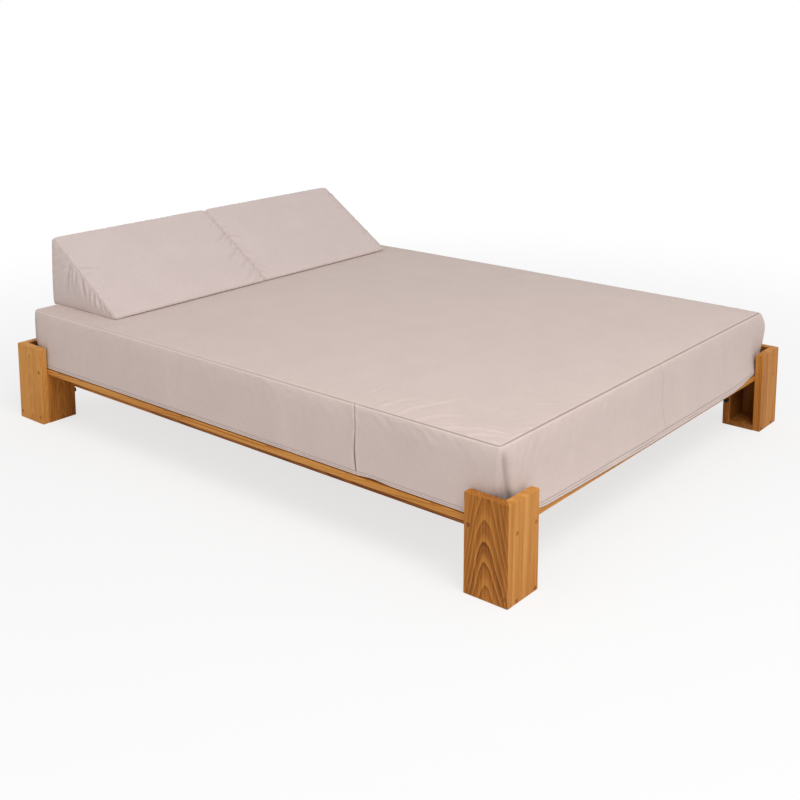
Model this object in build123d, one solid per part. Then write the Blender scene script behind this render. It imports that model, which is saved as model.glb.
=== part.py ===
from build123d import *
import math
import os

# Double chaise lounger: a low teak platform on four hollow box legs, one large mattress and two wedge cushions.
# X runs across the width, +Y to the head end, +Z up. The origin is on the floor under the middle.

# Mattress
mattress_length = 2000
mattress_width = 1600
mattress_height = 200  # bottom seam to top seam
mattress_edge_roll = 8  # how far the two seams lie inside the widest line
mattress_roll_height = 12  # height over which the edges roll
mattress_draw_in = 5  # sides pulled in between the corners
mattress_corner = 26
mattress_top_corner = 42
crown_height = 10  # the lying surface above its seam
crown_start = 6  # from the seam to the foot of the crown

# Wedge cushions
wedge_width = 705
wedge_depth = 376  # toe to heel, before the corners are rounded
wedge_height = 247  # heel to top, before the corners are rounded
wedge_top_forward = 8  # the back face leans this far to the foot end
wedge_overhang = 12  # past the mattress at the head end
wedge_space = 2  # between the two cushions
wedge_toe_radius = 5
wedge_heel_radius = 16
wedge_top_radius = 14
wedge_end_roll = 8  # the end panels are this much smaller all round
wedge_slope_crown = 10
wedge_back_crown = 6

cover_wall = 1.5  # least thickness of a cover with its wadding
soft_gap = 0.3  # between a soft piece and whatever it touches

# Stock
board = 26  # legs, rails and beams
plank = 18  # deck, slats and the bottoms of the legs
arris = 1.5  # small bevel on every edge that shows

# Legs and deck
leg_width = 136
leg_height = 272
deck_top = 196
side_gap = 8  # mattress to the inner face of a leg's side board
end_gap = 24  # mattress to the inner face of a leg's end board
rail_height = 58
ledger_width = 22
ledger_height = 30
centre_beam_width = 34
centre_leg_width = 60
slat_width = 70
slat_least_space = 22
slat_end_gap = 1

# Joints and fastenings
fit_gap = 0.1  # between a bolt, plug or tenon and the wood round it
tenon_width = 10
tenon_height = 20
tenon_length = 20
tenon_edge = 7  # from a tenon to the nearer edge of its rail or beam
plug_radius = 6
plug_length = 7
low_plug_height = 24  # on the side boards, into the inner board and the mitre
bolt_radius = 4
bolt_grip = 18  # thread in the side board
bolt_head_radius = 8.5
bolt_head_height = 8
socket_width = 6  # across the flats
socket_depth = 4

# Shares, of the sizes that they follow
roll_height_shares = (0, 0.3, 1)  # of the roll height, from a seam towards the middle of the band
roll_inset_shares = (1, 0.3, 0)  # of the edge roll, at those heights
mattress_belly_share = -0.1  # of the edge roll, where the side band stands out
crown_inset_shares = (0, 0.06, 0.22, 0.5)
crown_rise_shares = (0, 0.5, 0.86, 1)
wedge_station_shares = (0, 0.018, 0.1, 0.5, 0.9, 0.982, 1)  # of the width, where a section is drawn
wedge_pull_shares = (1, 0.4, 0.05, 0, 0.05, 0.4, 1)  # how far each is drawn in towards an end panel

# Worked out from the sizes above
half_width = mattress_width / 2 + side_gap + board
half_length = mattress_length / 2 + end_gap + board
inner_x = half_width - board  # inner face of a side board
inner_y = half_length - board  # inner face of an end board
open_x = half_width - leg_width  # the open side of a leg
open_y = half_length - leg_width  # the face of a leg's inner board
deck_bottom = deck_top - plank
rail_bottom = deck_bottom - rail_height
beam_y = open_y + board / 2
rail_x = open_x + board / 2
high_tenon = deck_bottom - tenon_edge - tenon_height / 2
low_tenon = rail_bottom + tenon_edge + tenon_height / 2
plank_middle = deck_bottom + plank / 2
bolt_height = deck_bottom / 2
mattress_bottom = deck_top + soft_gap
mattress_top = mattress_bottom + mattress_height
wedge_bottom = mattress_top + soft_gap
wedge_back = mattress_length / 2 + wedge_overhang
wedge_front = wedge_back - wedge_depth

across = Vector(1, 0, 0)
along = Vector(0, 1, 0)
upward = Vector(0, 0, 1)
ends = {"foot": -1, "head": 1}
sides = {"left": -1, "right": 1}
corners = [(f"{e}_{s}", sides[s], ends[e]) for e in ends for s in sides]


def block(x_range, y_range, z_range):
    low = [min(pair) for pair in (x_range, y_range, z_range)]
    size = [max(pair) - min(pair) for pair in (x_range, y_range, z_range)]
    return Pos(*low) * Box(*size, align=(Align.MIN, Align.MIN, Align.MIN))


def rod(start, direction, radius, length):
    shape = Cylinder(radius, length, align=(Align.CENTER, Align.CENTER, Align.MIN))
    return Plane(origin=start, z_dir=direction) * shape


def eased(shape, axes):
    """The shape with its edges along the given axes bevelled."""
    edges = [edge for axis in axes for edge in shape.edges().filter_by(axis)]
    return chamfer(edges, arris)


def plug_places(side, end):
    """Start point and inward direction of each plug in one leg's two outer boards."""
    inward_x = across * -side
    inward_y = along * -end
    mitre_y = half_length - board / 2
    mitre_x = inner_x - board / 2
    on_side = [(beam_y, plank_middle), (beam_y, low_plug_height), (mitre_y, low_plug_height)]
    on_end = [(x, z) for x in (rail_x, mitre_x) for z in (plank_middle, plank / 2)]
    side_plugs = [(Vector(side * half_width, end * y, z), inward_x) for y, z in on_side]
    end_plugs = [(Vector(side * x, end * half_length, z), inward_y) for x, z in on_end]
    return side_plugs, end_plugs


def with_plug_holes(shape, places):
    for start, inward in places:
        shape -= rod(start, inward, plug_radius + fit_gap, plug_length)
    return shape


def leg_corner(side, end):
    """The two outer boards of a leg before they part along their mitre."""
    x_wide, y_wide = (side * open_x, side * half_width), (end * open_y, end * half_length)
    shape = block(x_wide, y_wide, (0, leg_height))
    shape -= block((side * open_x, side * inner_x), (end * open_y, end * inner_y), (0, leg_height))
    inner_corner = Vector(side * inner_x, end * inner_y, leg_height / 2)
    edges = [edge for edge in shape.edges() if (edge.center() - inner_corner).length > arris]
    return chamfer(edges, arris)


def mitred_board(side, end, towards):
    """The half of a leg's corner that lies on the given side of the mitre."""
    mitre = Plane(
        origin=Vector(side * inner_x, end * inner_y, 0),
        x_dir=Vector(side, end, 0),
        z_dir=Vector(side, -end, 0),
    )
    return split(leg_corner(side, end), bisect_by=mitre, keep=towards)


def leg_side_board(side, end):
    board_shape = mitred_board(side, end, Keep.TOP)
    shape = with_plug_holes(board_shape, plug_places(side, end)[0])
    start = Vector(side * inner_x, end * beam_y, bolt_height)
    return shape - rod(start, across * side, bolt_radius + fit_gap, bolt_grip + fit_gap)


def leg_end_board(side, end):
    board_shape = mitred_board(side, end, Keep.BOTTOM)
    return with_plug_holes(board_shape, plug_places(side, end)[1])


def tenon(root, way, gap):
    """A stub tenon that stands out of root along way. With a gap it is the mortise that takes it."""
    size = (tenon_height + 2 * gap, tenon_width + 2 * gap, tenon_length + gap)
    align = (Align.CENTER, Align.CENTER, Align.MIN)
    return Plane(origin=root, x_dir=upward, z_dir=way) * Box(*size, align=align)


def rail_tenon(side, end, gap):
    return tenon(Vector(side * rail_x, end * open_y, high_tenon), along * end, gap)


def beam_tenon(side, end, gap):
    """Lower than the rail's tenon, which it passes inside the leg's inner board."""
    return tenon(Vector(side * open_x, end * beam_y, low_tenon), across * side, gap)


def centre_tenon(end, gap):
    return tenon(Vector(0, end * open_y, low_tenon), along * end, gap)


def leg_inner_board(side, end):
    shape = block((side * open_x, side * inner_x), (end * open_y, end * (open_y + board)), (0, deck_bottom))
    shape = eased(shape, (Axis.Z,)) - rail_tenon(side, end, fit_gap) - beam_tenon(side, end, fit_gap)
    start = Vector(side * open_x, end * beam_y, bolt_height)
    return shape - rod(start, across * side, bolt_radius + fit_gap, inner_x - open_x)


def leg_base_board(side, end):
    return block((side * open_x, side * inner_x), (end * (open_y + board), end * inner_y), (0, plank))


def leg_bolt(side, end):
    """Draws the inner board to the side board. Its black socket head stands in the open side of the leg."""
    start = Vector(side * open_x, end * beam_y, bolt_height)
    outward = across * side
    shank = rod(start, outward, bolt_radius, inner_x - open_x + bolt_grip)
    head = rod(start, outward * -1, bolt_head_radius, bolt_head_height)
    face = Plane(origin=start - outward * bolt_head_height, z_dir=outward)
    socket = extrude(face * RegularPolygon(socket_width / 2, 6, major_radius=False), socket_depth)
    return shank + head - socket


def side_rail(side):
    shape = block((side * open_x, side * (open_x + board)), (-open_y, open_y), (rail_bottom, deck_bottom))
    return shape + rail_tenon(side, ends["foot"], 0) + rail_tenon(side, ends["head"], 0)


def end_beam(end):
    shape = block((-open_x, open_x), (end * open_y, end * (open_y + board)), (rail_bottom, deck_bottom))
    shape += beam_tenon(sides["left"], end, 0) + beam_tenon(sides["right"], end, 0)
    return shape - centre_tenon(end, fit_gap)


def centre_beam():
    half = centre_beam_width / 2
    shape = block((-half, half), (-open_y, open_y), (rail_bottom, deck_bottom))
    return shape + centre_tenon(ends["foot"], 0) + centre_tenon(ends["head"], 0)


def centre_leg():
    half = centre_leg_width / 2
    return eased(block((-half, half), (-half, half), (0, rail_bottom)), (Axis.Z,))


def ledger(side):
    reach = (side * (open_x - ledger_width), side * open_x)
    return block(reach, (-open_y, open_y), (deck_bottom - ledger_height, deck_bottom))


def side_deck_board(side):
    shape = block((side * open_x, side * inner_x), (-inner_y, inner_y), (deck_bottom, deck_top))
    return eased(shape, (Axis.Y,))


def end_deck_board(end):
    shape = block((-open_x, open_x), (end * open_y, end * inner_y), (deck_bottom, deck_top))
    return eased(shape, (Axis.X,))


def slats():
    """As many slats as fit between the end boards with at least the least space beside each."""
    room = 2 * open_y
    count = math.floor((room - slat_least_space) / (slat_width + slat_least_space))
    space = (room - count * slat_width) / (count + 1)
    reach = open_x - slat_end_gap
    starts = [-open_y + space + i * (slat_width + space) for i in range(count)]
    return [
        eased(block((-reach, reach), (y, y + slat_width), (deck_bottom, deck_top)), (Axis.X,)) for y in starts
    ]


def rounded_ring(points, radii, bulges, inset, place):
    """A closed wire round a convex outline: an arc at each corner, and along each side an arc or a line.
    The outline is first drawn in by inset. A bulge is how far the middle of a side stands out."""
    count = len(points)
    corner_arcs = []
    for i in range(count):
        to_last = (points[i - 1] - points[i]).normalized()
        to_next = (points[(i + 1) % count] - points[i]).normalized()
        half_turn = math.radians(to_last.get_angle(to_next)) / 2
        inward = (to_last + to_next).normalized()
        corner = points[i] + inward * (inset / math.sin(half_turn))
        reach = radii[i] / math.tan(half_turn)
        middle = corner + inward * (radii[i] / math.sin(half_turn) - radii[i])
        corner_arcs.append((corner + to_last * reach, middle, corner + to_next * reach))
    edges = []
    for i in range(count):
        start, middle, finish = corner_arcs[i]
        edges.append(Edge.make_three_point_arc(place(start), place(middle), place(finish)))
        following = corner_arcs[(i + 1) % count][0]
        way = (following - finish).normalized()
        halfway = (finish + following) / 2 + Vector(way.Y, -way.X) * bulges[i]
        if bulges[i]:
            edges.append(Edge.make_three_point_arc(place(finish), place(halfway), place(following)))
        else:
            edges.append(Edge.make_line(place(finish), place(following)))
    return Wire(edges)


def level_ring(x_half, y_low, y_high, inset, radius, pull, z):
    """A ring round a level oblong. Pull is how far the middle of each side comes in."""
    plan = [Vector(-x_half, y_low), Vector(x_half, y_low), Vector(x_half, y_high), Vector(-x_half, y_high)]
    return rounded_ring(plan, [radius for _ in plan], [-pull for _ in plan], inset, lambda p: (p.X, p.Y, z))


def mattress_ring(inset, radius, z):
    y_half = mattress_length / 2
    return level_ring(mattress_width / 2, -y_half, y_half, inset, radius, mattress_draw_in, z)


def mattress_form():
    """The mattress from outside: a rolled and drawn-in side band under a crowned lying surface."""
    roll = [(mattress_roll_height * rise, draw) for rise, draw in zip(roll_height_shares, roll_inset_shares)]
    stages = [(mattress_bottom + rise, draw, mattress_corner) for rise, draw in roll]
    stages.append((mattress_bottom + mattress_height / 2, mattress_belly_share, mattress_corner))
    for rise, draw in reversed(roll):
        radius = mattress_corner + (mattress_top_corner - mattress_corner) * draw
        stages.append((mattress_top - rise, draw, radius))
    rings = [mattress_ring(mattress_edge_roll * draw, radius, z) for z, draw, radius in stages]
    band = Solid.make_loft(rings, ruled=True)

    half_crown = mattress_width / 2 - mattress_edge_roll - crown_start
    foot_edge = mattress_edge_roll + crown_start - mattress_length / 2
    rings = []
    for draw, rise in zip(crown_inset_shares, crown_rise_shares):
        inset = half_crown * draw
        z = mattress_top + crown_height * rise
        rings.append(level_ring(half_crown, foot_edge, wedge_front, inset, mattress_top_corner, 0, z))
    return band + Solid.make_loft(rings, ruled=True)


def mattress_core(gap):
    """The plain foam block, or with a gap the room for it inside the cover."""
    inset = mattress_edge_roll + cover_wall + soft_gap - gap
    lift = cover_wall + soft_gap - gap
    heights = (mattress_bottom + lift, mattress_top - lift)
    return Solid.make_loft([mattress_ring(inset, mattress_top_corner, z) for z in heights], ruled=True)


def wedge_ring(x, pull, wall):
    """One section of a wedge, pulled in towards an end panel. Its flat underside stays on the mattress."""
    toe = Vector(wedge_front, wedge_bottom)
    heel = Vector(wedge_back, wedge_bottom)
    top = Vector(wedge_back - wedge_top_forward, wedge_bottom + wedge_height)
    inset = wedge_end_roll * pull
    points = [point + (point - top) * (inset / wedge_height) for point in (toe, heel, top)]
    bulges = [0, wedge_back_crown * (1 - pull), wedge_slope_crown * (1 - pull)]
    radii = [wedge_toe_radius, wedge_heel_radius, wedge_top_radius]
    return rounded_ring(points, radii, bulges, inset + wall, lambda p: (x, p.X, p.Y))


def wedge_form(low_x):
    """A wedge from outside: soft between two flat and slightly smaller end panels."""
    stations = [(low_x + wedge_width * share, pull) for share, pull in zip(wedge_station_shares, wedge_pull_shares)]
    return Solid.make_loft([wedge_ring(x, pull, 0) for x, pull in stations], ruled=True)


def wedge_core(low_x, gap):
    """The plain foam wedge, or with a gap the room for it inside the cover."""
    wall = cover_wall + soft_gap - gap
    ends_x = (low_x + wall, low_x + wedge_width - wall)
    return Solid.make_loft([wedge_ring(x, 1, wall) for x in ends_x], ruled=True)


def save(name, shape):
    if isinstance(shape, list):
        shape = Compound([solid for piece in shape for solid in piece.solids()])
    export_step(shape, f"parts/{name}.step")


def main():
    os.makedirs("parts", exist_ok=True)
    for corner, side, end in corners:
        save(f"{corner}_leg_side_board", leg_side_board(side, end))
        save(f"{corner}_leg_end_board", leg_end_board(side, end))
        save(f"{corner}_leg_inner_board", leg_inner_board(side, end))
        save(f"{corner}_leg_base_board", leg_base_board(side, end))
    for name, side in sides.items():
        save(f"{name}_rail", side_rail(side))
        save(f"{name}_ledger", ledger(side))
        save(f"{name}_deck_board", side_deck_board(side))
    for name, end in ends.items():
        save(f"{name}_beam", end_beam(end))
        save(f"{name}_deck_board", end_deck_board(end))
    save("centre_beam", centre_beam())
    save("centre_leg", centre_leg())
    for i, slat in enumerate(slats()):
        save(f"slat_{i + 1:02d}", slat)

    places = [place for _, side, end in corners for group in plug_places(side, end) for place in group]
    save("leg_plugs", [rod(start, inward, plug_radius, plug_length) for start, inward in places])
    save("leg_bolts", [leg_bolt(side, end) for _, side, end in corners])

    save("mattress_cover", mattress_form() - mattress_core(soft_gap))
    save("mattress_foam", mattress_core(0))
    wedge_starts = {"left": -wedge_space / 2 - wedge_width, "right": wedge_space / 2}
    for name, low_x in wedge_starts.items():
        save(f"{name}_wedge_cover", wedge_form(low_x) - wedge_core(low_x, soft_gap))
        save(f"{name}_wedge_foam", wedge_core(low_x, 0))


main()
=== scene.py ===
import math

import bpy
import numpy as np
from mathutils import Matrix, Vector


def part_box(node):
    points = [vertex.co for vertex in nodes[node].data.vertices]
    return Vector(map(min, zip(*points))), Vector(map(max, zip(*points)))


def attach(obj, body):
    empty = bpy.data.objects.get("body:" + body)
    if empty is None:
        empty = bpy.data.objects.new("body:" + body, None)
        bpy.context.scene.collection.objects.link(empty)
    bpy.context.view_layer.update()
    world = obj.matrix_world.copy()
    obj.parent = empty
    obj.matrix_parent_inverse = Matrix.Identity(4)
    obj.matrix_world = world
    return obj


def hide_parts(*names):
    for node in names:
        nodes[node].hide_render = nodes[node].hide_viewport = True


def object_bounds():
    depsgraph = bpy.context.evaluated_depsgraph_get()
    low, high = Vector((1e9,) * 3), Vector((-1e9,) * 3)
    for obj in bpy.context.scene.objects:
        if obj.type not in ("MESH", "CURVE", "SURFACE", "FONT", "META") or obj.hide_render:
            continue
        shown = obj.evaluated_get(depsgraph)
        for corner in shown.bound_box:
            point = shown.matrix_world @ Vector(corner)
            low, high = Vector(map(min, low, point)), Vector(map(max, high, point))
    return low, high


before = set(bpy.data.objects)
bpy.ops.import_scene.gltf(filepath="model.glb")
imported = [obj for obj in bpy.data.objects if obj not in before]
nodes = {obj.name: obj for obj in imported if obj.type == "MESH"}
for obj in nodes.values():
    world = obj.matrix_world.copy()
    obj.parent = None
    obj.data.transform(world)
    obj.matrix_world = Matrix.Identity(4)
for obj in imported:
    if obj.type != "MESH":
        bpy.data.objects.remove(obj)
cadBox = [list(corner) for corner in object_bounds()]
rng = np.random.default_rng(42)
print("frame loaded:", len(nodes), "wooden and soft parts")


# writing shaders

class Wire:
    # one output of a node; operators on it add Math nodes, node() adds any other kind
    def __init__(self, tree, socket=None):
        self.tree = tree
        self.socket = socket

    def node(self, kind, settings=None, inputs=None, out=0):
        made = self.tree.nodes.new("ShaderNode" + kind)
        for name, value in (settings or {}).items():
            if name == "stops":
                while len(made.color_ramp.elements) < len(value):
                    made.color_ramp.elements.new(1)
                for stop, (place, colour) in zip(made.color_ramp.elements, value):
                    stop.position = place
                    stop.color = (*colour, 1)
            else:
                setattr(made, name, value)
        for name, value in (inputs or {}).items():
            socket = made.inputs[name]
            if isinstance(value, Wire):
                self.tree.links.new(value.socket, socket)
            elif isinstance(value, tuple) and socket.type == "RGBA":
                socket.default_value = (*value, 1)
            else:
                socket.default_value = value
        return Wire(self.tree, made.outputs[out] if len(made.outputs) else None)

    def calc(self, operation, *others):
        return self.node("Math", {"operation": operation}, dict(enumerate((self, *others))))

    def __add__(self, other):
        return self.calc("ADD", other)

    def __sub__(self, other):
        return self.calc("SUBTRACT", other)

    def __mul__(self, other):
        return self.calc("MULTIPLY", other)

    def __truediv__(self, other):
        return self.calc("DIVIDE", other)

    def __pow__(self, other):
        return self.calc("POWER", other)

    def __neg__(self):
        return self.calc("MULTIPLY", -1)

    def between(self, low, high, first=0, last=1):
        # first below low, last above high, smooth between them
        limits = {"From Min": low, "From Max": high, "To Min": first, "To Max": last}
        return self.node("MapRange", {"interpolation_type": "SMOOTHSTEP"}, {"Value": self, **limits})

    def split(self):
        xyz = self.node("SeparateXYZ", {}, {0: self})
        return [Wire(self.tree, socket) for socket in xyz.socket.node.outputs]

    def joined(self, x, y, z):
        return self.node("CombineXYZ", {}, {0: x, 1: y, 2: z})

    def noise(self, vector, scale, detail=2, rough=0.5):
        inputs = {"Vector": vector, "Scale": scale, "Detail": detail, "Roughness": rough}
        return self.node("TexNoise", {}, inputs)

    def mixed(self, factor, first, second):
        return self.node("Mix", {"data_type": "RGBA"}, {0: factor, 6: first, 7: second}, out=2)

    def ramp(self, stops):
        return self.node("ValToRGB", {"stops": stops}, {0: self})

    def objectPlace(self):
        # metres in the frame of the CAD
        return self.node("TexCoord", out="Object")

    def seenDirectly(self):
        # 1 where the camera sees it, also by way of gloss or glass, and 0 where it lights other things
        rays = self.node("LightPath").socket.node.outputs
        seen = Wire(self.tree, rays["Is Camera Ray"])
        for name in ("Is Glossy Ray", "Is Transmission Ray"):
            seen = seen.calc("MAXIMUM", Wire(self.tree, rays[name]))
        return seen


def newMaterial(name):
    material = bpy.data.materials.new(name)
    material.use_nodes = True
    material.node_tree.nodes.clear()
    return material, Wire(material.node_tree)


def surface(wire, colour, rough, height=None, strength=0.5, depth=0.001, **fixed):
    inputs = {"Base Color": colour, "Roughness": rough}
    if height is not None:
        inputs["Normal"] = wire.node("Bump", {}, {"Strength": strength, "Distance": depth, "Height": height})
    inputs.update({name.replace("_", " "): value for name, value in fixed.items()})
    shader = wire.node("BsdfPrincipled", {}, inputs)
    wire.node("OutputMaterial", {}, {"Surface": shader})


# teak

teakLook = {
    "pale": (0.69, 0.325, 0.080), "honey": (0.54, 0.210, 0.034), "brown": (0.33, 0.106, 0.012),
    "dark": (0.13, 0.036, 0.006), "honeyAt": 0.35, "brownAt": 0.72,
    "ringWidth": 0.0042, "wander": 0.05, "ringFuzz": 0.4,
    # how much each thing darkens the wood: a weak ring, how much more a strong one, and so on
    "ringLeast": 0.12, "ringMore": 0.40, "streaks": 0.75, "clouds": 0.9, "base": 0.19,
    # the hollow's amount is painted shade on the faces inside the legs
    "pores": 0.35, "hollow": 0.6,
    "poreDepth": 0.0004, "roughness": 0.58, "roughMore": 0.2, "gloss": 0.2, "skin": 0.0001,
}
# the legs' outer faces are the object's own sides; the side board's mitre ends a little short of the corner
legX, legY = cadBox[1][:2]
legLow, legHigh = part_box("head_right_leg_side_board")
thickness, legWidth, legTop = legX - legLow[0], legY - legLow[1], legHigh[2]


def teak(name, grain, heart, seed, taper=0.055, tone=0.0,
         ringWidth=None, wander=1.0, contrast=1.0, hollow=False):
    # Growth rings round a line along the grain through the point heart. A ring's number is the distance from
    # that line plus taper times the place along the grain, over the ring width, so a board sawn beside the
    # heart shows arches.
    material, wire = newMaterial(name)
    look = teakLook
    axes = wire.objectPlace().split()
    flatX, flatY = axes[:2]
    along = axes.pop("XYZ".index(grain))
    across, deep = axes

    def drawnOut(close, long, shift, detail, rough=0.5):
        # noise with cells drawn out along the grain
        return wire.noise(wire.joined(across * close, deep * close, along * long + shift), 1, detail, rough)

    slow = drawnOut(5, 1.6, seed, 2)
    slower = wire.noise(wire.joined(across * 4 + seed, deep * 4, along * 1.3), 1, 2)
    side = across - heart[0] + (slow - 0.5) * (look["wander"] * wander)
    down = deep - heart[1] + (slower - 0.5) * (look["wander"] * wander)
    distance = (side * side + down * down) ** 0.5
    fine = drawnOut(60, 7, seed, 3)
    ring = (distance + along * taper) / (ringWidth or look["ringWidth"]) + fine * look["ringFuzz"]
    share = ring.calc("FRACT")
    late = share.between(0.08, 0.55) * 0.65 + share.between(0.7, 0.92) * 0.35  # darker across the ring
    late = late * share.between(0.94, 1.0, 1, 0)  # a thin pale line ends it
    strength = wire.noise(wire.joined(ring * 0.37, seed, 0.0), 1, 1).between(0.35, 0.7)
    streak = drawnOut(150, 3.5, seed, 4, 0.6)
    pore = drawnOut(1500, 70, seed, 2).between(0.6, 0.72)
    broad = drawnOut(7, 1.2, seed * 3, 2)
    shade = late * (strength * look["ringMore"] + look["ringLeast"]) * contrast
    shade = shade + (streak - 0.5) * look["streaks"] + (broad - 0.5) * look["clouds"] + (look["base"] + tone)
    colour = shade.ramp([(0.0, look["pale"]), (look["honeyAt"], look["honey"]),
                         (look["brownAt"], look["brown"]), (1.0, look["dark"])])
    colour = wire.mixed(pore * look["pores"], colour, look["dark"])
    if hollow:  # painted shade on the faces inside a leg's hollow
        flatX, flatY = flatX.calc("ABSOLUTE"), flatY.calc("ABSOLUTE")
        skin = look["skin"]  # the painted shade starts just past a face, inside the wood
        inside = flatX.between(legX - thickness + skin, legX - thickness + 4 * skin, 1, 0)
        inside = inside * flatY.between(legY - thickness + skin, legY - thickness + 4 * skin, 1, 0)
        innerFace = legY - legWidth + thickness
        inside = inside * flatY.between(innerFace - 10 * skin, innerFace - 4 * skin)
        colour = wire.mixed(inside * look["hollow"], colour, look["dark"])
    rough = (streak - 0.5) * look["roughMore"] + look["roughness"]
    height = streak * 0.3 - pore * 0.6 - late * 0.25 + 0.6
    surface(wire, colour, rough, height, 0.35, look["poreDepth"], Specular_IOR_Level=look["gloss"])
    return material


def dress(node, material):
    nodes[node].data.materials.clear()
    nodes[node].data.materials.append(material)


# each leg's signs of x and y, its side board's tone, contrast and wander, and its end board's tone
legs = {
    "foot_left": (-1, -1, (0.25, 1.15, 0.9), -0.08), "foot_right": (1, -1, (0.1, 0.8, 0.45), -0.04),
    "head_left": (-1, 1, (-0.16, 0.6, 0.45), -0.04), "head_right": (1, 1, (0.05, 0.8, 0.45), -0.04),
}
for number, (corner, (signX, signY, (sideTone, contrast, wander), endTone)) in enumerate(legs.items()):
    # each board's grain, the point that its heart line goes through, seed and look
    boards = {
        "side": ("Z", (signX * (legX - 0.05), signY * 0.982 - 0.002), 3.1,
                 {"taper": 0.116, "tone": sideTone, "ringWidth": 0.0078,
                  "wander": wander, "contrast": contrast}),
        "end": ("Z", (signX * 0.60, signY * 0.95), 9.7, {"taper": 0.02, "tone": endTone}),
        "inner": ("Z", (signX * 0.75, signY * 0.88), 15.3,
                  {"taper": 0.10, "tone": 0.22, "ringWidth": 0.006, "wander": 0.5, "contrast": 0.7}),
        "base": ("X", (signY * 0.98, 0.10), 21.9, {"taper": 0.03}),
    }
    for board, (grain, heart, seed, grainLook) in boards.items():
        material = teak(f"{corner}{board.title()}Teak", grain, heart, seed + number, hollow=True, **grainLook)
        dress(f"{corner}_leg_{board}_board", material)

# the pairs of the frame: part, grain, how far out and how high its heart line is, seed, taper, tone
framing = (
    # the rails' tone of 0.36 darkens them partly as painted shade under the deck's edge
    ("rail", "Y", 0.8, 0.15, 27.1, 0.02, 0.36), ("ledger", "Y", 0.6, 0.10, 31.1, 0.02, 0.1),
    ("deck_board", "Y", 0.72, 0.12, 35.1, 0.03, -0.16), ("beam", "X", 0.98, 0.10, 39.1, 0.02, 0.15),
    ("deck_board", "X", 0.9, 0.12, 43.1, 0.03, -0.06),
)
for part, grain, out, up, seed, taper, tone in framing:
    for number, side in enumerate(("left", "right") if grain == "Y" else ("foot", "head")):
        name = f"{side}{part.split('_')[0].title()}Teak"
        dress(f"{side}_{part}", teak(name, grain, ((-out, out)[number], up), seed + number, taper, tone))
dress("centre_beam", teak("centreBeamTeak", "Y", (0.05, 0.10), 47.1, 0.02, 0.1))
dress("centre_leg", teak("centreLegTeak", "Z", (0.06, 0.05), 48.3, 0.03, 0.1))
slatTeak = teak("slatTeak", "X", (0.0, 0.02), 51.7, 0.02)
for name in nodes:
    if name.startswith("slat_"):
        dress(name, slatTeak)
dress("leg_plugs", teak("plugTeak", "X", (0.0, 0.5), 57.3, 0.03, 0.42))

boltBlack, wire = newMaterial("boltBlack")
wear = wire.noise(wire.objectPlace(), 400, 3).between(0.55, 0.75)
colour = wire.mixed(wear, (0.012, 0.012, 0.013), (0.06, 0.06, 0.065))
surface(wire, colour, wear * 0.2 + 0.42, wear, 0.2, 0.0003, Metallic=0.6)
dress("leg_bolts", boltBlack)
print("teak and bolts finished")


# cloth

clothLook = {
    "light": (0.69, 0.565, 0.516), "shade": (0.60, 0.488, 0.444),
    # seam is the dark of stitching and of painted shade, edge the pale of pale lines and of painted highlight
    "seam": (0.13, 0.085, 0.07), "edge": (0.80, 0.67, 0.62), "thread": 0.0016, "roughness": 0.82,
    # how far each thing takes the cloth from light to shade
    "mottle": 0.7, "slubs": 0.9, "soft": 0.4, "weave": 0.12, "base": 0.35,
}
clothShine = {"Specular_IOR_Level": 0.3, "Sheen_Weight": 0.12, "Sheen_Roughness": 0.5}


def clothMaterial(name, paler=(1, 1, 1)):
    # A plain weave on the piece's own UV map, which is in metres: two sets of threads, each over the other in
    # turn, thicker in places.
    material, wire = newMaterial(name)
    look = clothLook
    light, shadow = (tuple(np.multiply(look[key], paler)) for key in ("light", "shade"))
    u, v = wire.node("TexCoord", out="UV").split()[:2]
    place = wire.objectPlace()
    turns = 2 * math.pi / look["thread"]
    slubU = wire.noise(wire.joined(u * 60, v * 900, 0.0), 1, 2)
    slubV = wire.noise(wire.joined(u * 900, v * 60, 5.0), 1, 2)
    weave = (u * turns + slubV * 3).calc("SINE") * (v * turns + slubU * 3).calc("SINE")
    mottle = wire.noise(place, 9, 3)
    soft = wire.noise(place, 160, 3)
    tone = wire.node("Attribute", {"attribute_name": "seamTone"}, out="Fac")
    shade = (mottle - 0.5) * look["mottle"] + (slubU + slubV - 1) * look["slubs"]
    shade = shade + (soft - 0.5) * look["soft"] + weave * look["weave"] + look["base"]
    colour = wire.mixed(shade.calc("MAXIMUM", 0.0).calc("MINIMUM", 1.0), light, shadow)
    # the tone mixes in the seam colour for stitching and painted shade, and the edge colour for pale lines
    # and painted highlight
    colour = wire.mixed(tone.calc("MAXIMUM", 0.0), colour, look["seam"])
    colour = wire.mixed((-tone).calc("MAXIMUM", 0.0), colour, look["edge"])
    height = weave * 0.5 + slubU * 0.5 + slubV * 0.5 + soft * 0.4
    surface(wire, colour, (soft - 0.5) * 0.1 + look["roughness"], height, 0.25, 0.0005, **clothShine)
    return material


mattressCloth = clothMaterial("mattressCloth")
# the wedges' cloth is the same weave, made paler by these factors
wedgeCloth = clothMaterial("wedgeCloth", (1.06, 1.08, 1.12))
pipingCloth, wire = newMaterial("pipingCloth")  # the same cloth on the bias, paler where it is stretched
rub = wire.noise(wire.objectPlace(), 300, 3)
colour = wire.mixed(rub, clothLook["light"], clothLook["edge"])
surface(wire, colour, rub * -0.1 + 0.8, rub, 0.3, 0.0004, **clothShine)


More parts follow.
